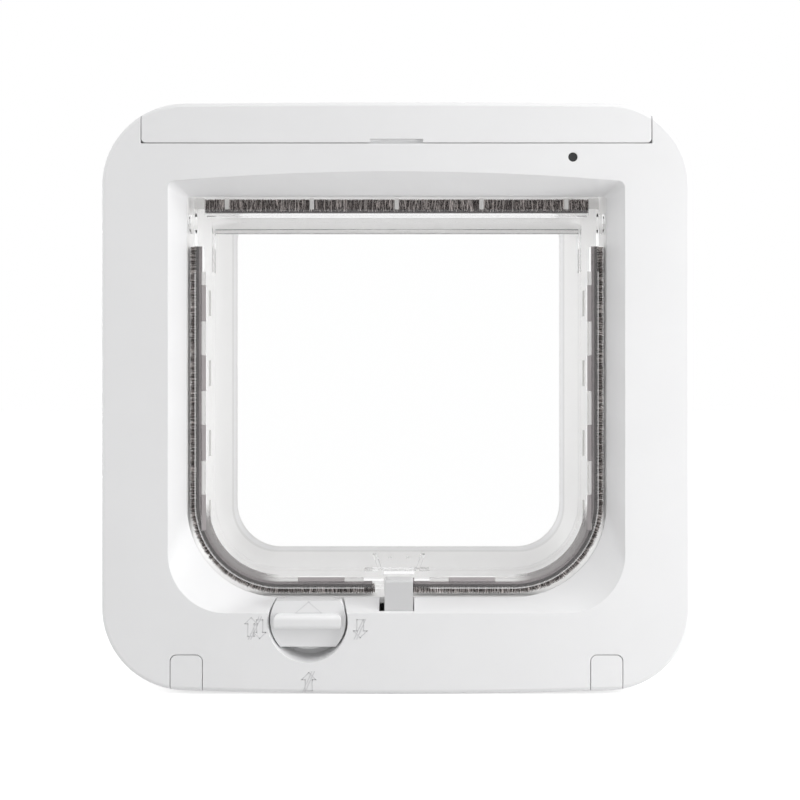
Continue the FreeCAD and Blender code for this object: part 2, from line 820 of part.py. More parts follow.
def make_latch():
    """Sliding catch that stops the flap from opening inwards when it is raised."""
    half = latch_width / 2
    body = block(
        latch_x - half, latch_x + half, latch_front_y, latch_back_y, latch_low_z, latch_top_z)
    top_edges = [edge for edge in body.Edges if edge.BoundBox.ZMin > latch_top_z - tolerance]
    body = body.makeFillet(latch_edge_r, top_edges)
    hole = Part.makeCylinder(plunger_r, plunger_grip, Vector(latch_x, latch_y, latch_low_z))
    return body.cut(hole)


def make_latch_plunger():
    """Steel core that the solenoid moves, pressed into the latch."""
    low = latch_low_z + plunger_grip - plunger_length
    return Part.makeCylinder(plunger_r, plunger_length, Vector(latch_x, latch_y, low))


def make_latch_solenoid():
    """Coil block of the latch, with the plunger's bore."""
    low = solenoid_top_z - solenoid_length
    body = block(
        latch_x - solenoid_half_width, latch_x + solenoid_half_width,
        face_inner_y, face_inner_y + solenoid_depth, low, solenoid_top_z)
    bore = Part.makeCylinder(plunger_r + fit_gap, far, Vector(latch_x, latch_y, low + solenoid_floor))
    return body.cut(bore)


def coil_spring(centre, direction, radius_start, radius_end, length, turns, wire_r):
    """Coiled wire, its round section simplified to a few flats."""
    steps = spring_steps_per_turn * turns
    sides = spring_wire_sides
    axis = Vector(direction)
    across = Vector(0, 0, 1) if abs(axis.z) < 0.5 else Vector(1, 0, 0)
    other = axis.cross(across)
    rings = []
    for step in range(steps + 1):
        share = step / steps
        turn = 2 * math.pi * turns * share
        radius = radius_start + (radius_end - radius_start) * share
        outward = across * math.cos(turn) + other * math.sin(turn)
        middle = centre + outward * radius + axis * (length * share)
        section = []
        for side in range(sides):
            angle = 2 * math.pi * side / sides
            section.append(
                middle + outward * (wire_r * math.cos(angle)) + axis * (wire_r * math.sin(angle)))
        rings.append(section)
    faces = [flat_face(rings[0]), flat_face(rings[-1])]
    for first, second in zip(rings, rings[1:]):
        for side in range(sides):
            following = (side + 1) % sides
            faces.append(flat_face([first[side], first[following], second[side]]))
            faces.append(flat_face([first[following], second[following], second[side]]))
    spring = Part.Solid(Part.Shell(faces))
    if spring.Volume < 0:
        spring.reverse()
    return spring


def flat_face(points):
    """Plane face through the given corners."""
    return Part.Face(Part.makePolygon(points + points[:1]))


def make_latch_spring():
    """Spring round the plunger, between the latch and the solenoid."""
    start = Vector(latch_x, latch_y, solenoid_top_z + spring_wire_r)
    length = latch_low_z - solenoid_top_z - 2 * spring_wire_r
    radius = plunger_r + 2 * spring_wire_r + fit_gap
    return coil_spring(
        start, Vector(0, 0, 1), radius, radius, length, latch_spring_turns, spring_wire_r)


def make_lock_knob():
    """Four-way knob: a plate with two flats, a hub, a grip bar and a shaft."""
    free_side = block(-far, far, -far, far, -far, lock_z + knob_flat_high)
    flats = free_side.common(block(-far, far, -far, far, lock_z - knob_flat_low, far))
    plate = rod(knob_r, lock_x, lock_z, knob_front_y, hub_front_y).common(flats)
    hub = rod(knob_hub_r, lock_x, lock_z, hub_front_y, hub_back_y).common(free_side)
    grip = block(
        lock_x - grip_length / 2, lock_x + grip_length / 2, knob_front_y - grip_height, knob_front_y + 1,
        lock_z - grip_width / 2, lock_z + grip_width / 2)
    ends = []
    for edge in grip.Edges:
        box = edge.BoundBox
        if box.YLength > 1 or (box.XLength > 1 and box.YMax < knob_front_y):
            ends.append(edge)
    grip = grip.makeFillet(grip_edge_r, ends)
    shaft = rod(lock_shaft_r, lock_x, lock_z, hub_back_y - 1, cam_y)
    knob = fused(plate, hub, grip, shaft)
    return knob.cut(rod(cam_screw_r, lock_x, lock_z, cam_y - cam_screw_grip - 1, cam_y + 1))


def make_lock_cam():
    """Rear half of the lock: its free sides let the flap swing outwards."""
    cam = rod(cam_r, lock_x, lock_z, cam_y, cam_y + cam_thick)
    cam = cam.common(block(
        -far, lock_x + cam_r, -far, far, -far, lock_z + cam_flat))
    side = block(lock_x + cam_flat, far, -far, far, -far, far)
    return cam.cut([side, rod(cam_screw_r, lock_x, lock_z, -far, far)])


def make_lock_cam_screw():
    """Screw that holds the cam on the knob's shaft."""
    seat = cam_y + cam_thick
    shank = rod(cam_screw_r, lock_x, lock_z, cam_y - cam_screw_grip, seat)
    head = rod(cam_screw_head_r, lock_x, lock_z, seat, seat + cam_screw_head_height)
    half = cam_screw_slot_width / 2
    slot = block(
        lock_x - half, lock_x + half, seat + cam_screw_head_height - cam_screw_slot_depth, far, -far, far)
    return fused(shank, head).cut(slot)


def make_battery_cover():
    """Cover that hooks over the casing's top edge, with a slot for a fingertip."""
    half = cover_half_width
    room = block(-half, half, face_y - 1, face_y + cover_wrap, cover_low_z, far)
    corners = upright_edges(room, -half - 1, half + 1, cover_low_z - 1, cover_low_z + 1)
    room = room.makeFillet(cover_corner_r, corners)
    cover = casing_skin(cover_thick).common(room)
    slot = block(
        -cover_slot_half, cover_slot_half, face_y - 1, face_y + cover_slot_depth,
        cover_low_z - 1, cover_low_z + cover_slot_height)
    return cover.cut(slot)


def bay_x(side, along):
    """Place along a bay, counted from its end at the middle of the casing."""
    return side * (bay_start + along)


def cell_start(reverse):
    """Where a cell's flat end lies along its bay."""
    room = contact_thick + cell_spring_length
    return bay_length - room if reverse else room


def make_battery(side, y, reverse):
    """One cell: a can with the small contact at its end."""
    body_length = cell_length - cell_nub_length
    step = -1 if reverse else 1
    flat = cell_start(reverse)
    shoulder = flat + step * body_length
    tip = flat + step * cell_length
    start, end = sorted((bay_x(side, flat), bay_x(side, shoulder)))
    can = cross_rod(cell_r, start, end, y, cell_z)
    start, end = sorted((bay_x(side, shoulder), bay_x(side, tip)))
    return fused(can, cross_rod(cell_nub_r, start, end, y, cell_z))


def make_battery_contacts():
    """Plates at both ends of each cell."""
    plates = []
    for side in (-1, 1):
        for y in (front_cell_y, back_cell_y):
            for along in (0, bay_length - contact_thick):
                start, end = sorted((bay_x(side, along), bay_x(side, along + contact_thick)))
                plates.append(block(
                    start, end, y - contact_size / 2, y + contact_size / 2,
                    bay_floor_z, bay_floor_z + contact_size))
    return Part.makeCompound(plates)


def make_battery_springs():
    """Cone springs that press each cell on its contact."""
    springs = []
    for side in (-1, 1):
        for y, reverse in ((front_cell_y, False), (back_cell_y, True)):
            base = bay_length - contact_thick if reverse else contact_thick
            step = -side if reverse else side
            direction = Vector(step, 0, 0)
            start = Vector(bay_x(side, base), y, cell_z) + direction * spring_wire_r
            length = cell_spring_length - 2 * spring_wire_r
            springs.append(coil_spring(
                start, direction, cell_spring_r_wide, cell_spring_r_narrow, length,
                cell_spring_turns, spring_wire_r))
    return Part.makeCompound(springs)


def make_circuit_board():
    """Board on the tunnel's rests, under the bay, with its chips."""
    board = block(board_start_x, board_end_x, board_front_y, board_end_y, board_z, board_z + board_thick)
    top = board_z + board_thick
    chips = []
    for along, back, length, width in chip_places:
        x = board_start_x + along
        y = board_front_y + back
        chips.append(block(x, x + length, y, y + width, top, top + chip_height))
    return fused(board, *chips)


def make_status_led():
    """Light behind the status window, on its two legs from the board."""
    front = face_inner_y + status_led_gap
    back = front + status_led_length
    body = rod(status_led_r, status_x, status_z, front, back)
    legs = []
    for x in (status_x - led_leg_pitch / 2, status_x + led_leg_pitch / 2):
        legs.append(block(
            x - led_leg_width / 2, x + led_leg_width / 2, back - led_leg_depth, back,
            board_z + board_thick, status_z))
    return fused(body, *legs)


def make_status_lens():
    """Dark window of the status light."""
    return rod(status_hole_r, status_x, status_z, face_y + status_lens_inset, face_inner_y)


def make_learn_button():
    """Button between the bays, kept behind the deck by its flange."""
    front = deck_y - button_proud
    flange_start = deck_y + deck_thick
    cap = rod(button_r, 0, button_z, front, flange_start)
    flange = rod(
        button_r + button_flange, 0, button_z, flange_start, flange_start + button_flange_thick)
    return fused(cap, flange)


def make_button_switch():
    """Switch that the learn button presses."""
    start = deck_y + deck_thick + button_flange_thick + button_stroke + switch_gap
    return rod(switch_r, 0, button_z, start, start + switch_length)


def make_mounting_screws():
    """Four long screws from the room side into the outer frame."""
    screws = []
    for x, z in mount_screw_places():
        shank = rod(mount_screw_r, x, z, mount_seat_y, exterior_y + mount_screw_grip)
        head = rod(mount_head_r, x, z, mount_seat_y - mount_head_height, mount_seat_y)
        top = mount_seat_y - mount_head_height
        long, short = mount_slot_length / 2, mount_slot_width / 2
        slots = [
            block(x - short, x + short, top - 1, top + mount_slot_depth, z - long, z + long),
            block(x - long, x + long, top - 1, top + mount_slot_depth, z - short, z + short)]
        screws.append(fused(shank, head).cut(slots))
    return Part.makeCompound(screws)


def make_screw_cover(side):
    """Small cover over a lower screw, with a cross-shaped peg in the screw's well."""
    cover = casing_skin(cap_thick).common(cap_room(side, 0))
    half = cap_peg_thick / 2
    reach = math.sqrt((mount_access_r - fit_gap) ** 2 - half ** 2)
    start = face_y + cap_thick / 2
    end = face_y + cap_thick + cap_peg_length
    x, z = side * low_screw_x, low_screw_z
    upright = block(x - half, x + half, start, end, z - reach, z + reach)
    across = block(x - reach, x + reach, start, end, z - half, z + half)
    return fused(cover, upright, across)


def write(name, shape):
    """Save one node, and say what it holds."""
    solids = len(shape.Solids)
    print(f"{name}: {solids} solids, {shape.Volume / 1000:.2f} cm3, valid {shape.isValid()}")
    shape.exportStep(f"parts/{name}.step")


os.makedirs("parts", exist_ok=True)
write("front_frame", make_front_frame())
write("back_plate", make_back_plate())
write("tunnel", make_tunnel())
write("hinge_bush_left", make_hinge_bush(-1))
write("hinge_bush_right", make_hinge_bush(1))
write("antenna_coil", make_antenna_coil())
write("tunnel_sleeve", make_tunnel_sleeve())
write("exterior_frame", make_exterior_frame())
write("flap_door", make_flap_door())
write("edge_brush", make_edge_brush())
write("top_brush", make_top_brush())
write("latch", make_latch())
write("latch_plunger", make_latch_plunger())
write("latch_solenoid", make_latch_solenoid())
write("latch_spring", make_latch_spring())
write("lock_knob", make_lock_knob())
write("lock_cam", make_lock_cam())
write("lock_cam_screw", make_lock_cam_screw())
write("battery_cover", make_battery_cover())
write("battery_1", make_battery(-1, front_cell_y, False))
write("battery_2", make_battery(-1, back_cell_y, True))
write("battery_3", make_battery(1, front_cell_y, False))
write("battery_4", make_battery(1, back_cell_y, True))
write("battery_contacts", make_battery_contacts())
write("battery_springs", make_battery_springs())
write("circuit_board", make_circuit_board())
write("status_led", make_status_led())
write("status_lens", make_status_lens())
write("learn_button", make_learn_button())
write("button_switch", make_button_switch())
write("mounting_screws", make_mounting_screws())
write("screw_cover_left", make_screw_cover(-1))
write("screw_cover_right", make_screw_cover(1))
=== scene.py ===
"""Looks of a cat flap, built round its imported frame.

Lengths are in millimetres and are turned into metres where a mesh or a material needs them. Only the
lamps and the floor are given in metres.
"""
import math
import random

import bpy
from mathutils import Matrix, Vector


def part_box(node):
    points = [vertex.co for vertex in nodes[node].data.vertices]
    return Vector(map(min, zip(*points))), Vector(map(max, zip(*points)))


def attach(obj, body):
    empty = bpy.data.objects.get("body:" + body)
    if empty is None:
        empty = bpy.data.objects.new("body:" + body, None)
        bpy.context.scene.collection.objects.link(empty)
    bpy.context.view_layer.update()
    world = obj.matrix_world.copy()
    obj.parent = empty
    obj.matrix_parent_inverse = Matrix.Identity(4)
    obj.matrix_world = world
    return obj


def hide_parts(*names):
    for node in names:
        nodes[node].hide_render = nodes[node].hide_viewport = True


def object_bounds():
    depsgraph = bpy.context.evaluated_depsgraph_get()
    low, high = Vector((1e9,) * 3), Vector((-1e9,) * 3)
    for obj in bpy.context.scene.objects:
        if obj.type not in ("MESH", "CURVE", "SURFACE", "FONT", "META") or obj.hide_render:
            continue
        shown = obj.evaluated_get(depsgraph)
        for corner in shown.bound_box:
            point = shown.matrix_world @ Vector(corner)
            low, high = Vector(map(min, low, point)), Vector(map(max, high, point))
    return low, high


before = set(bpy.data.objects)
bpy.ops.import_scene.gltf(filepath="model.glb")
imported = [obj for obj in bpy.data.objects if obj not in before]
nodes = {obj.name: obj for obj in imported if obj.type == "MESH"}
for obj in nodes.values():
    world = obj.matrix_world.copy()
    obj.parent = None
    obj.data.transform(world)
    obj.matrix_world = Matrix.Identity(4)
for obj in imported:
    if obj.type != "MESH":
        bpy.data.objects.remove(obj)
cad_low, cad_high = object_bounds()
MM = 0.001

# Camera: its distance from the front face, and the point of the face that it looks straight at
camera_distance = 340.0
camera_x = 2.8
camera_z = 6.4
view_width_at_face = 283.8
centre_shift_x = -0.0054
centre_shift_y = -0.025

# Colours, linear
white_plastic = (0.83, 0.83, 0.835)
inner_white = (0.80, 0.80, 0.80)
tunnel_white = (0.90, 0.895, 0.89)
latch_grey = (0.62, 0.62, 0.625)
button_grey = (0.35, 0.36, 0.38)
black_plastic = (0.02, 0.02, 0.022)
board_green = (0.03, 0.18, 0.08)
led_red = (0.5, 0.05, 0.04)
cell_jacket = (0.05, 0.055, 0.07)
zinc_grey = (0.6, 0.6, 0.62)
copper_red = (0.6, 0.28, 0.14)
pile_dark = (0.014, 0.011, 0.011)
pile_light = (0.34, 0.30, 0.29)
pile_pale = (0.72, 0.66, 0.64)
core_dark = (0.055, 0.048, 0.048)
backing_grey = (0.26, 0.23, 0.235)
clip_grey = (0.40, 0.37, 0.375)
# Painted shade of the engraved marks round the lock
mark_shade_grey = (0.72, 0.72, 0.73)
clear_tint = (0.995, 0.997, 0.997)
# Painted highlights where the clear flap's small edges catch the light, pale and white, then dark grey
# painted at its foot's corners
highlight_pale = (0.6, 0.59, 0.58)
highlight_white = (0.92, 0.92, 0.92)
corner_dark_grey = (0.22, 0.205, 0.205)
# Painted shade of the rings in the bore through the door
ring_shade_grey = (0.70, 0.695, 0.69)

# Surfaces: how far edges look rounded, how rough painted highlights and shade are, and how much light
# clear plastic keeps where it goes straight on
edge_softness = 0.35
paint_roughness = 0.3
step_tint = 0.98
shadow_tint = 0.96

# Rings of painted shade in the bore through the door, along its depth, and how far off the middle the bore
# reaches
bore_shade_rings = ((68.8, 73.5), (80.5, 84.0))
bore_half_width = 77.2
bore_low = -73.5
bore_high = 79.6

# Painted highlights and painted dark grey on the clear flap lie in front of the first depth below:
# highlights on
#  the top pile's bars above bars_low, and bands round the lip, each between two insets from the lip's
#  edge. The groove is sunk behind groove_front
paint_back = -22.9
groove_front = -23.9
bars_low = 68.8
lip_half_width = 73.8
lip_low = -69.8
lip_corner_r = 31.2
edge_band = (-0.1, 0.35)
wall_band = (2.55, 4.15)
corner_band = (2.5, 5.2)
groove_band = (5.1, 6.1)
step_band = (6.3, 6.5)

# Bands end below bands_high and beside the latch, and the corners' band fades in along the rim
bands_high = 46.0
bands_from_middle = 12.0
corner_fade = 7.0

# How much of each painted place is painted highlight or dark grey, and how much of the step lets light
# straight on
bars_groove_highlight_share = 0.8
edge_share = 0.3
wall_share = 0.7
corner_share = 0.8
step_share = 0.95

# Light: its level all round, then each lamp's place in metres, its size and its power
world_level = 0.57
floor_colour = 0.65
floor_glow = 0.63
floor_half_width = 3.0
lamps = (
    ("near_right", (0.42, -0.21, 0.0), 0.2, 0.72),
    ("far_right", (0.85, -0.18, 0.1), 0.4, 1.7),
    ("left", (-0.80, -0.07, 0.1), 0.4, 1.7),
    ("above", (0.2, -0.32, 0.9), 0.7, 4.3),
    ("back_left", (-0.45, 0.65, 0.1), 0.4, 1.7),
    ("back_right", (0.45, 0.65, 0.0), 0.4, 1.5))

# Pile: strips round the flap, with depths as insets from the flap's edge, parted beside the latch
flap_corner_r = 33.6
pile_sink = 1.05
pile_backing = 1.1
pile_reach = 5.0
core_reach = 2.9
strip_step = 1.0
latch_gap_left = 4.0
latch_gap_right = -0.3
latch_gap_top = 2.0

# Fibres: their size, how many stand along the rim, and how far their roots and tips scatter
fibre_r = 0.10
fibre_step = 0.1
fibres_per_mm = 48
pale_share = 0.26
root_sink = 0.2
root_scatter = 0.08
tip_short = (0.02, 0.5)
tip_scatter = 0.35
fibre_bend = 0.35

# A fibre's elbow: how far along it lies, and its share of the bend and of the thickness there
elbow_along = 0.75
elbow_bend = 0.5
elbow_width = 0.95

# Pile along the flap's top edge, denser towards its front
top_fibres_per_mm = 70
top_crowding = 1.6
top_core_inset = 0.9
top_core_drop = 0.5
top_root_height = 2.2
top_tip_short = 0.25
top_tip_scatter_x = 0.4
top_tip_scatter_y = 0.3
top_fibre_bend = 0.3

# Clips of the backing, which show in the windows of the flap: insets from the flap's edge, then places
clip_outer = 4.95
clip_inner = 6.55
clip_sink = 0.4
clip_depth = 1.7
clip_rows = (34.4, 8.9, -16.6, -42.1)
clip_half_length = 6.5
foot_clip_x = 27.5
foot_clip_half_length = 8.4

# Engraved marks round the lock, drawn as thin raised strips in a grey that is painted shade of the
# engraving: groups of
#  arrows (middle, height, head, whether it points up) with the double stroke across them (middle, half
#  width, half height), and the triangle on the knob. Points are (x, z)
mark_width = 0.28
mark_raise = 0.03
mark_raise_step = 0.004
stroke_half_gap = 0.45
arrow_stem_share = 0.5
grip_height = 3.2
lock_marks = (
    ((((-51.6, -81.2), 6.6, 2.2, True), ((-48.5, -82.0), 6.6, 2.2, False)), ((-50.2, -81.6), 1.9, 4.0)),
    ((((-12.8, -81.8), 6.4, 2.4, False),), ((-12.9, -82.0), 1.6, 3.5)),
    ((((-31.1, -100.6), 6.4, 2.5, True),), ((-31.2, -100.7), 1.6, 3.6)))
knob_triangle = [(-36.1, -76.9), (-31.4, -72.9), (-26.8, -76.9), (-36.1, -76.9)]


def box_mm(node):
    """Lowest and highest corner of a node of the frame, in millimetres."""
    low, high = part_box(node)
    return low / MM, high / MM


def clamp(value, low, high):
    """The value, kept between two limits."""
    return min(max(value, low), high)


def new_material(name):
    """A new node material with its tree and its main shader."""
    material = bpy.data.materials.new(name)
    material.use_nodes = True
    tree = material.node_tree
    shader = tree.nodes["Principled BSDF"]
    return material, tree, shader


def feed(tree, value, socket):
    """Give an input a number, or link it to another node's result."""
    if isinstance(value, float):
        socket.default_value = value
    else:
        tree.links.new(value, socket)


def number_node(tree, operation, first, second):
    """Result of a calculation with two sockets, or with a socket and a number."""
    node = tree.nodes.new("ShaderNodeMath")
    node.operation = operation
    tree.links.new(first, node.inputs[0])
    feed(tree, second, node.inputs[1])
    return node.outputs[0]


def mix_shaders(tree, share, first, second):
    """Mix of two shaders: the first where the share is 0, the second where it is 1."""
    mix = tree.nodes.new("ShaderNodeMixShader")
    tree.links.new(share, mix.inputs["Fac"])
    tree.links.new(first, mix.inputs[1])
    tree.links.new(second, mix.inputs[2])
    return mix.outputs[0]


def noise_node(tree, patch_mm, detail):
    """Noise over a surface in patches of one size."""
    where = tree.nodes.new("ShaderNodeNewGeometry")
    noise = tree.nodes.new("ShaderNodeTexNoise")
    noise.inputs["Scale"].default_value = 1 / (patch_mm * MM)
    noise.inputs["Detail"].default_value = detail
    tree.links.new(where.outputs["Position"], noise.inputs["Vector"])
    return noise.outputs["Fac"]


def ramped_colour(tree, shader, value, start, end):
    """Base colour that follows a value from one (position, colour) to another."""
    ramp = tree.nodes.new("ShaderNodeValToRGB")
    for element, (position, colour) in zip(ramp.color_ramp.elements, (start, end)):
        element.position = position
        element.color = list(colour) + [1]
    tree.links.new(value, ramp.inputs["Fac"])
    tree.links.new(ramp.outputs["Color"], shader.inputs["Base Color"])


def soft_normal(tree, shader, radius_mm, grain_mm, depth_mm):
    """Normals with rounded edges, and a fine moulded grain on them."""
    bevel = tree.nodes.new("ShaderNodeBevel")
    bevel.samples = 6
    bevel.inputs["Radius"].default_value = radius_mm * MM
    grain = noise_node(tree, grain_mm, detail=2.0)
    bump = tree.nodes.new("ShaderNodeBump")
    bump.inputs["Distance"].default_value = depth_mm * MM
    tree.links.new(grain, bump.inputs["Height"])
    tree.links.new(bevel.outputs["Normal"], bump.inputs["Normal"])
    tree.links.new(bump.outputs["Normal"], shader.inputs["Normal"])


def varied_colour(tree, shader, colour, spread, patch_mm):
    """Base colour that wanders a little over the surface."""
    darker = [c * (1 - spread) for c in colour]
    patches = noise_node(tree, patch_mm, detail=3.0)
    ramped_colour(tree, shader, patches, (0.3, darker), (0.7, colour))


def moulded(name, colour, roughness=0.45):
    """Satin moulded plastic."""
    material, tree, shader = new_material(name)
    varied_colour(tree, shader, colour, spread=0.02, patch_mm=30.0)
    soft_normal(tree, shader, edge_softness, grain_mm=0.35, depth_mm=0.006)
    shader.inputs["Roughness"].default_value = roughness
    shader.inputs["IOR"].default_value = 1.46
    return material


def metal(name, colour, roughness):
    """Plated metal with a fine brushed grain."""
    material, tree, shader = new_material(name)
    varied_colour(tree, shader, colour, spread=0.12, patch_mm=3.0)
    soft_normal(tree, shader, radius_mm=0.12, grain_mm=0.2, depth_mm=0.01)
    shader.inputs["Metallic"].default_value = 1.0
    shader.inputs["Roughness"].default_value = roughness
    return material


def hairy(name, dark, light):
    """Dull fibres, some lighter than others."""
    material, tree, shader = new_material(name)
    patches = noise_node(tree, patch_mm=0.4, detail=4.0)
    ramped_colour(tree, shader, patches, (0.42, dark), (0.66, light))
    shader.inputs["Roughness"].default_value = 0.85
    return material


def woven(name, colour):
    """Coarse woven backing of the pile."""
    material, tree, shader = new_material(name)
    varied_colour(tree, shader, colour, spread=0.25, patch_mm=1.2)
    soft_normal(tree, shader, radius_mm=0.1, grain_mm=0.5, depth_mm=0.08)
    shader.inputs["Roughness"].default_value = 0.9
    return material


def both(tree, first, second):
    """1 where both sockets are 1."""
    return number_node(tree, "MULTIPLY", first, second)


def between(tree, value, low, high):
    """1 where the value, in metres, lies between two lengths in millimetres."""
    above = number_node(tree, "GREATER_THAN", value, low * MM)
    return both(tree, above, number_node(tree, "LESS_THAN", value, high * MM))


def object_place(tree):
    """Node with the X, Y and Z of a place on the piece, in metres of the shared frame."""
    where = tree.nodes.new("ShaderNodeTexCoord")
    place = tree.nodes.new("ShaderNodeSeparateXYZ")
    tree.links.new(where.outputs["Object"], place.inputs[0])
    return place


def rim_band(tree, place, insets, corners=False):
    """1 in a band between two insets from the lip's edge, all round or at the foot's corners only."""
    side = number_node(tree, "ABSOLUTE", place.outputs["X"], 0.0)
    from_corner_x = number_node(tree, "SUBTRACT", side, (lip_half_width - lip_corner_r) * MM)
    from_corner_z = number_node(tree, "SUBTRACT", place.outputs["Z"], (lip_low + lip_corner_r) * MM)
    aside = number_node(tree, "MAXIMUM", from_corner_x, 0.0)
    below = number_node(tree, "MINIMUM", from_corner_z, 0.0)
    squares = number_node(tree, "ADD", both(tree, aside, aside), both(tree, below, below))
    reach = number_node(tree, "SQRT", squares, 0.0)
    band = between(tree, reach, lip_corner_r - insets[1], lip_corner_r - insets[0])
    if corners:
        fades = []
        for depth, way in ((aside, 1), (below, -1)):
            fade = number_node(tree, "MULTIPLY", depth, way / (corner_fade * MM))
            fades.append(number_node(tree, "MINIMUM", fade, 1.0))
        return both(tree, band, both(tree, *fades))
    off_latch = number_node(tree, "GREATER_THAN", side, bands_from_middle * MM)
    off_top = number_node(tree, "LESS_THAN", place.outputs["Z"], bands_high * MM)
    return both(tree, band, both(tree, off_latch, off_top))


def mixed(tree, shader, other, place, share):
    """The shader with a share of another one in a place."""
    return mix_shaders(tree, number_node(tree, "MULTIPLY", place, share), shader, other)


def flat_paint(tree, colour):
    """Opaque colour on a surface: painted highlights where small edges catch the light, painted shade in
    the bore's rings, and dark grey at the flap's corners.
    """
    shader = tree.nodes.new("ShaderNodeBsdfPrincipled")
    shader.inputs["Base Color"].default_value = list(colour) + [1]
    shader.inputs["Roughness"].default_value = paint_roughness
    return shader.outputs[0]


def straight(tree, tint):
    """Light that goes straight on, a little of it lost."""
    shader = tree.nodes.new("ShaderNodeBsdfTransparent")
    shader.inputs["Color"].default_value = (tint, tint, tint, 1)
    return shader.outputs[0]


def with_shade_rings(material):
    """The moulded material with rings of painted shade in the bore through the door."""
    tree = material.node_tree
    place = object_place(tree)
    side = number_node(tree, "ABSOLUTE", place.outputs["X"], 0.0)
    in_width = number_node(tree, "LESS_THAN", side, bore_half_width * MM)
    inside = both(tree, in_width, between(tree, place.outputs["Z"], bore_low, bore_high))
    # Painted shade in two rings along the bore's depth
    first, second = [between(tree, place.outputs["Y"], low, high) for low, high in bore_shade_rings]
    shade_rings = both(tree, inside, number_node(tree, "MAXIMUM", first, second))
    shader = mixed(tree, tree.nodes["Principled BSDF"].outputs[0], flat_paint(tree, ring_shade_grey), shade_rings, 1.0)
    tree.links.new(shader, tree.nodes["Material Output"].inputs["Surface"])
    return material


def highlights_and_dark_corners(tree, shader):
    """The clear shader, with painted highlights where small edges catch the light, and dark grey painted
    at the foot's corners.
    """
    place = object_place(tree)
    front = number_node(tree, "LESS_THAN", place.outputs["Y"], paint_back * MM)
    bars = both(tree, front, number_node(tree, "GREATER_THAN", place.outputs["Z"], bars_low * MM))
    sunk = both(tree, front, number_node(tree, "GREATER_THAN", place.outputs["Y"], groove_front * MM))
    groove = both(tree, sunk, rim_band(tree, place, groove_band))
    edge = both(tree, front, rim_band(tree, place, edge_band))
    wall = both(tree, front, rim_band(tree, place, wall_band))
    corner = both(tree, front, rim_band(tree, place, corner_band, corners=True))
    bars_or_groove = number_node(tree, "MAXIMUM", bars, groove)
    # Painted highlights on the bars, the groove, the lip's edge and the wall, and dark grey painted at the
    # corners
    shader = mixed(tree, shader, flat_paint(tree, highlight_pale), bars_or_groove, bars_groove_highlight_share)
    shader = mixed(tree, shader, flat_paint(tree, highlight_white), edge, edge_share)
    shader = mixed(tree, shader, flat_paint(tree, highlight_pale), wall, wall_share)
    shader = mixed(tree, shader, flat_paint(tree, corner_dark_grey), corner, corner_share)
    return mixed(tree, shader, straight(tree, step_tint), rim_band(tree, place, step_band), step_share)


def clear(name):
    """Clear moulded plastic, which lets the light through to what stands behind it."""
    material, tree, shader = new_material(name)
    shader.inputs["Base Color"].default_value = list(clear_tint) + [1]
    shader.inputs["Transmission Weight"].default_value = 1.0
    shader.inputs["Roughness"].default_value = 0.02
    shader.inputs["IOR"].default_value = 1.49
    path = tree.nodes.new("ShaderNodeLightPath")
    lighting = number_node(tree, "MAXIMUM", path.outputs["Is Shadow Ray"], path.outputs["Is Diffuse Ray"])
    # The clear surface with its painted highlights and painted dark corners
    seen = highlights_and_dark_corners(tree, shader.outputs[0])
    surface = mix_shaders(tree, lighting, seen, straight(tree, shadow_tint))
    tree.links.new(surface, tree.nodes["Material Output"].inputs["Surface"])
    return material


def paint(material, *names):
    """Give CAD nodes a material."""
    for name in names:
        mesh = nodes[name].data
        mesh.materials.clear()
        mesh.materials.append(material)


paint(moulded("case_white", white_plastic), "front_frame", "battery_cover",
      "screw_cover_left", "screw_cover_right")
# Rings of painted shade in the bore of the exterior frame and of the tunnel
paint(with_shade_rings(moulded("outer_white", white_plastic)), "exterior_frame")
paint(with_shade_rings(moulded("tunnel_white", tunnel_white)), "tunnel")
paint(moulded("plain_white", inner_white), "back_plate", "tunnel_sleeve", "lock_cam",
      "hinge_bush_left", "hinge_bush_right")
paint(moulded("knob_white", white_plastic, roughness=0.35), "lock_knob")
paint(moulded("latch_grey", latch_grey), "latch")
paint(moulded("button_grey", button_grey), "learn_button")
paint(moulded("black_plastic", black_plastic), "latch_solenoid", "button_switch", "status_lens")
paint(moulded("board_green", board_green), "circuit_board")
paint(moulded("led_red", led_red, roughness=0.2), "status_led")
paint(moulded("cell_jacket", cell_jacket, roughness=0.3),
      "battery_1", "battery_2", "battery_3", "battery_4")
paint(metal("zinc", zinc_grey, roughness=0.35), "mounting_screws", "latch_plunger",
      "latch_spring", "lock_cam_screw", "battery_contacts", "battery_springs")
paint(metal("copper", copper_red, roughness=0.3), "antenna_coil")
paint(clear("clear_plastic"), "flap_door")

# Materials of the pile, and the number of each of them in its pieces
pile_materials = [
    hairy("pile_dark", pile_dark, pile_light),
    woven("pile_backing", backing_grey),
    hairy("pile_pale", pile_pale, pile_pale),
    moulded("clip_grey", clip_grey),
    woven("pile_core", core_dark)]
dark_fibres, backing, pale_fibres, clips, core = range(5)
paint(pile_materials[dark_fibres], "edge_brush", "top_brush")
# Grey of the marks: painted shade of their engraving
mark_shade_material = moulded("mark_shade_grey", mark_shade_grey)


def new_piece(name, points_mm, faces, material_list, body):
    """A piece of the scene from points in millimetres; faces are (corners, number of the material)."""
    mesh = bpy.data.meshes.new(name)
    mesh.from_pydata([Vector(p) * MM for p in points_mm], [], [corners for corners, _ in faces])
    for material in material_list:
        mesh.materials.append(material)
    mesh.polygons.foreach_set("material_index", [number for _, number in faces])
    mesh.update()
    piece = bpy.data.objects.new(name, mesh)
    bpy.context.scene.collection.objects.link(piece)
    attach(piece, body)
    return piece


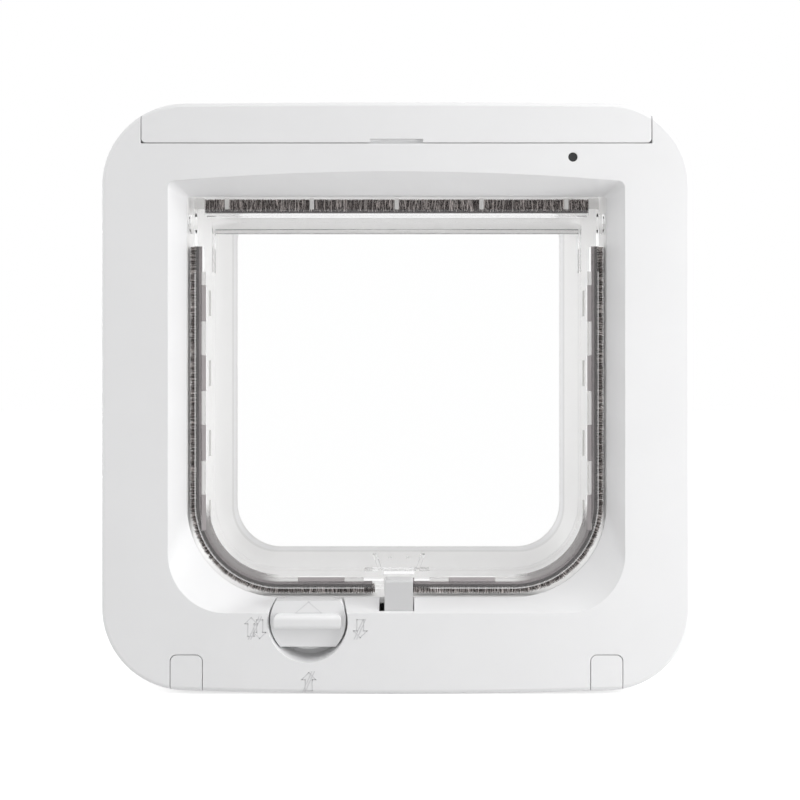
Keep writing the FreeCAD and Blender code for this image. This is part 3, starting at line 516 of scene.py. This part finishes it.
def add_box(points, faces, low, high, number):
    """Closed box between two corners."""
    start = len(points)
    for x in (low[0], high[0]):
        for y in (low[1], high[1]):
            for z in (low[2], high[2]):
                points.append((x, y, z))
    for corners in ((0, 1, 3, 2), (4, 6, 7, 5), (0, 4, 5, 1), (2, 3, 7, 6), (0, 2, 6, 4), (1, 5, 7, 3)):
        faces.append(([start + c for c in corners], number))


def add_sweep(points, faces, sections, number):
    """Closed bar through sections of four corners each."""
    start = len(points)
    for section in sections:
        points.extend(section)
    last = len(sections) - 1
    for step in range(last):
        for side in range(4):
            a = start + 4 * step + side
            b = start + 4 * step + (side + 1) % 4
            faces.append(([a, b, b + 4, a + 4], number))
    faces.append(([start + 3, start + 2, start + 1, start], number))
    end = start + 4 * last
    faces.append(([end, end + 1, end + 2, end + 3], number))


def add_fibre(points, faces, root, tip, bend, number):
    """Thin three-sided fibre that curves to one side and ends in a point."""
    along = tip - root
    steep = abs(along.y) >= abs(along.x) + abs(along.z)
    first = along.cross(Vector((1, 0, 0)) if steep else Vector((0, 1, 0))).normalized() * fibre_r
    second = along.normalized().cross(first)
    start = len(points)
    for middle, size in ((root, 1.0), (root + along * elbow_along + bend * elbow_bend, elbow_width)):
        for turn in range(3):
            angle = 2 * math.pi * turn / 3
            points.append(middle + first * (math.cos(angle) * size) + second * (math.sin(angle) * size))
    points.append(tip + bend)
    for turn in range(3):
        after = (turn + 1) % 3
        faces.append(([start + turn, start + after, start + 3 + after, start + 3 + turn], number))
        faces.append(([start + 3 + turn, start + 3 + after, start + 6], number))


def fibre_number(rng):
    """Number of a fibre's material: a share of the fibres is pale, and the others are dark."""
    return pale_fibres if rng.random() < pale_share else dark_fibres


def rim_path(high_z, low_z, half_width, corner_r, step_mm):
    """Points and outward directions down one side of the flap, round its foot and up the other side."""
    path = []
    count = int((high_z - low_z - corner_r) / step_mm)
    for step in range(count):
        z = high_z - (high_z - low_z - corner_r) * step / count
        path.append((Vector((-half_width, 0, z)), Vector((-1, 0, 0))))
    count = int(corner_r * math.pi / 2 / step_mm)
    for step in range(count):
        angle = math.pi + math.pi / 2 * step / count
        outward = Vector((math.cos(angle), 0, math.sin(angle)))
        path.append((Vector((corner_r - half_width, 0, low_z + corner_r)) + outward * corner_r, outward))
    count = int((half_width - corner_r) / step_mm)
    for step in range(count):
        x = (corner_r - half_width) * (1 - step / count)
        path.append((Vector((x, 0, low_z)), Vector((0, 0, -1))))
    other = [(Vector((-p.x, 0, p.z)), Vector((-o.x, 0, o.z))) for p, o in reversed(path)]
    return path + [(Vector((0, 0, low_z)), Vector((0, 0, -1)))] + other


def pile_runs(step_mm):
    """Points and outward directions along the flap's rim, in two runs beside the latch."""
    low, high = box_mm("edge_brush")
    latch_low, latch_high = box_mm("latch")
    left = latch_low.x - latch_gap_left
    right = latch_high.x + latch_gap_right
    top = latch_high.z + latch_gap_top
    runs = [[], []]
    for place, outward in rim_path(high.z, low.z, high.x, flap_corner_r, step_mm):
        if place.z > top or not left < place.x < right:
            runs[place.x > left].append((place, outward))
    return runs


def add_strip(points, faces, run, inset_in, inset_out, front, back, number):
    """Closed bar along a run of the rim, between two insets from the flap's edge."""
    sections = []
    for place, outward in run:
        inner, outer = place - outward * inset_in, place - outward * inset_out
        sections.append([
            (inner.x, front, inner.z), (inner.x, back, inner.z),
            (outer.x, back, outer.z), (outer.x, front, outer.z)])
    add_sweep(points, faces, sections, number)


def add_clips(points, faces, flap_front):
    """Clips that reach from the backing into the flap's windows."""
    low, high = box_mm("edge_brush")
    front = flap_front + clip_sink
    back = front + clip_depth
    inner, outer = high.x - clip_inner, high.x - clip_outer
    for z in clip_rows:
        for start, end in ((-outer, -inner), (inner, outer)):
            add_box(
                points, faces, (start, front, z - clip_half_length),
                (end, back, z + clip_half_length), clips)
    for x in (-foot_clip_x, foot_clip_x):
        add_box(
            points, faces, (x - foot_clip_half_length, front, low.z + clip_outer),
            (x + foot_clip_half_length, back, low.z + clip_inner), clips)


def make_edge_pile():
    """Fibres round both sides and the foot of the flap, parted over the latch."""
    low, high = box_mm("edge_brush")
    flap_front = box_mm("flap_door")[0].y
    front, back = flap_front + pile_sink, high.y
    rng = random.Random(5)
    points, faces = [], []
    for run in pile_runs(strip_step):
        add_strip(points, faces, run, pile_reach, pile_reach - pile_backing, front, back, backing)
        add_strip(points, faces, run, pile_reach - pile_backing, core_reach, front, back, core)
    add_clips(points, faces, flap_front)
    left_run, right_run = pile_runs(fibre_step)
    for place, outward in left_run + right_run:
        along = Vector((-outward.z, 0, outward.x))
        for _ in range(int(fibres_per_mm * fibre_step + rng.random())):
            y = front + fibre_r + (back - front - 2 * fibre_r) * rng.random()
            scatter = along * rng.uniform(-root_scatter, root_scatter)
            root = place - outward * (core_reach + root_sink) + scatter
            root.y = y
            tip = place - outward * rng.uniform(*tip_short)
            tip.y = clamp(y + rng.gauss(0, tip_scatter), front, back)
            bend = along * rng.gauss(0, fibre_bend)
            bend.z = clamp(bend.z, low.z - tip.z, high.z - tip.z)
            add_fibre(points, faces, root, tip, bend, fibre_number(rng))
    piece = new_piece("edge_pile", points, faces, pile_materials, "flap")
    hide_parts("edge_brush")


def make_top_pile():
    """Fibres along the flap's top edge, behind the bars."""
    low, high = box_mm("top_brush")
    rng = random.Random(8)
    points, faces = [], []
    core_low = (low.x, low.y + top_core_inset, low.z)
    core_high = (high.x, high.y - top_core_inset, high.z - top_core_drop)
    add_box(points, faces, core_low, core_high, core)
    count = int((high.x - low.x) * top_fibres_per_mm)
    for index in range(count):
        x = low.x + (high.x - low.x) * (index + rng.random()) / count
        y = low.y + fibre_r + (high.y - low.y - 2 * fibre_r) * rng.random() ** top_crowding
        root = Vector((x, y, low.z + rng.uniform(0, top_root_height)))
        tip = Vector((x + rng.gauss(0, top_tip_scatter_x), y, high.z - rng.uniform(0, top_tip_short)))
        tip.x = clamp(tip.x, low.x, high.x)
        tip.y = clamp(y + rng.gauss(0, top_tip_scatter_y), low.y, high.y)
        bend = Vector((rng.gauss(0, top_fibre_bend), 0, 0))
        bend.x = clamp(bend.x, low.x - tip.x, high.x - tip.x)
        add_fibre(points, faces, root, tip, bend, fibre_number(rng))
    piece = new_piece("top_pile", points, faces, pile_materials, "flap")
    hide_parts("top_brush")


def add_line(points, faces, path, y, raise_mm):
    """Flat raised line along corners (x, z) of a surface that faces the room."""
    half = mark_width / 2
    for (x1, z1), (x2, z2) in zip(path, path[1:]):
        direction = Vector((x2 - x1, z2 - z1)).normalized()
        across = Vector((-direction.y, direction.x)) * half
        start = Vector((x1, z1)) - direction * half
        end = Vector((x2, z2)) + direction * half
        corners = [start + across, start - across, end - across, end + across]
        base = len(points)
        for depth in (y, y - raise_mm):
            points.extend([(c.x, depth, c.y) for c in corners])
        for side in range(4):
            after = (side + 1) % 4
            faces.append(([base + side, base + after, base + 4 + after, base + 4 + side], 0))
        faces.append(([base + 4, base + 5, base + 6, base + 7], 0))
        faces.append(([base + 3, base + 2, base + 1, base], 0))


def arrow(middle, height, head, up):
    """Outline of a block arrow pointing up or down, as one closed path of (x, z)."""
    x, z = middle
    way = 1 if up else -1
    tip, neck, foot = z + way * height / 2, z + way * (height / 2 - head), z - way * height / 2
    stem = head * arrow_stem_share
    return [
        (x - stem, foot), (x - stem, neck), (x - head, neck), (x, tip), (x + head, neck),
        (x + stem, neck), (x + stem, foot), (x - stem, foot)]


def slash(middle, half_width, half_height):
    """Slanted double stroke across an arrow, as two paths of (x, z)."""
    x, z = middle
    return [
        [(x - half_width + gap, z - half_height), (x + half_width + gap, z + half_height)]
        for gap in (-stroke_half_gap, stroke_half_gap)]


def make_marks():
    """Plain arrows round the lock, which show what each of its settings lets through, in a grey of painted
    shade.
    """
    face = box_mm("front_frame")[0].y
    points, faces = [], []
    paths = []
    for arrows, stroke in lock_marks:
        paths += [arrow(*values) for values in arrows] + slash(*stroke)
    for number, path in enumerate(paths):
        add_line(points, faces, path, face, mark_raise + mark_raise_step * number)
    new_piece("lock_marks", points, faces, [mark_shade_material], "frame")
    knob_face = box_mm("lock_knob")[0].y + grip_height
    points, faces = [], []
    add_line(points, faces, knob_triangle, knob_face, mark_raise)
    new_piece("knob_mark", points, faces, [mark_shade_material], "lock")


make_edge_pile()
make_top_pile()
make_marks()


def bounced(tree, path):
    """1 for what is seen in a glossy surface or through a clear one."""
    return number_node(tree, "MAXIMUM", path.outputs["Is Glossy Ray"], path.outputs["Is Transmission Ray"])


def white_source(tree, kind, strength):
    """Background or emission of plain white, with a number or a socket for its strength."""
    source = tree.nodes.new(kind)
    source.inputs["Color"].default_value = (1, 1, 1, 1)
    feed(tree, strength, source.inputs["Strength"])
    return source.outputs[0]


def make_world():
    """Plain white surroundings: white where they are seen, softer where they light the object."""
    world = bpy.data.worlds.new("studio")
    world.use_nodes = True
    bpy.context.scene.world = world
    tree = world.node_tree
    tree.nodes.clear()
    output = tree.nodes.new("ShaderNodeOutputWorld")
    lit = white_source(tree, "ShaderNodeBackground", world_level)
    white = white_source(tree, "ShaderNodeBackground", 1.0)
    path = tree.nodes.new("ShaderNodeLightPath")
    seen = number_node(tree, "MAXIMUM", path.outputs["Is Camera Ray"], bounced(tree, path))
    tree.links.new(mix_shaders(tree, seen, lit, white), output.inputs["Surface"])


def area_light(name, place, size, power):
    """Soft box at a place in metres, turned to the object."""
    light = bpy.data.lights.new(name, "AREA")
    light.shape = "SQUARE"
    light.size = size
    light.energy = power
    lamp = bpy.data.objects.new(name, light)
    bpy.context.scene.collection.objects.link(lamp)
    lamp.location = place
    lamp.rotation_euler = (-Vector(place)).to_track_quat("-Z", "Y").to_euler()
    lamp.visible_camera = False
    lamp.visible_transmission = False


def make_floor():
    """Pale floor that the object stands on; its white is seen, and it keeps the shadow."""
    half = floor_half_width
    mesh = bpy.data.meshes.new("floor")
    corners = [(-half, -half, 0), (half, -half, 0), (half, half, 0), (-half, half, 0)]
    mesh.from_pydata(corners, [], [(0, 1, 2, 3)])
    floor = bpy.data.objects.new("floor", mesh)
    bpy.context.scene.collection.objects.link(floor)
    floor.location.z = cad_low.z
    material, tree, shader = new_material("floor_white")
    shader.inputs["Base Color"].default_value = (floor_colour, floor_colour, floor_colour, 1)
    shader.inputs["Roughness"].default_value = 0.9
    path = tree.nodes.new("ShaderNodeLightPath")
    strength = number_node(tree, "MULTIPLY", path.outputs["Is Camera Ray"], floor_glow)
    lit = tree.nodes.new("ShaderNodeAddShader")
    tree.links.new(shader.outputs[0], lit.inputs[0])
    tree.links.new(white_source(tree, "ShaderNodeEmission", strength), lit.inputs[1])
    white = white_source(tree, "ShaderNodeEmission", 1.0)
    surface = mix_shaders(tree, bounced(tree, path), lit.outputs[0], white)
    tree.links.new(surface, tree.nodes["Material Output"].inputs["Surface"])
    mesh.materials.append(material)


def make_camera():
    """Camera in front of the room-side face, as in the photograph."""
    data = bpy.data.cameras.new("camera")
    data.sensor_width = 36.0
    data.lens = data.sensor_width * camera_distance / view_width_at_face
    data.shift_x = centre_shift_x
    data.shift_y = centre_shift_y
    data.clip_start = 0.01
    camera = bpy.data.objects.new("camera", data)
    bpy.context.scene.collection.objects.link(camera)
    face_y = box_mm("front_frame")[0].y
    camera.location = (camera_x * MM, (face_y - camera_distance) * MM, camera_z * MM)
    camera.rotation_euler = (math.radians(90), 0, 0)
    bpy.context.scene.camera = camera


make_world()
for name, place, size, power in lamps:
    area_light(name, place, size, power)
make_floor()
make_camera()
bpy.context.scene.view_settings.view_transform = "Standard"
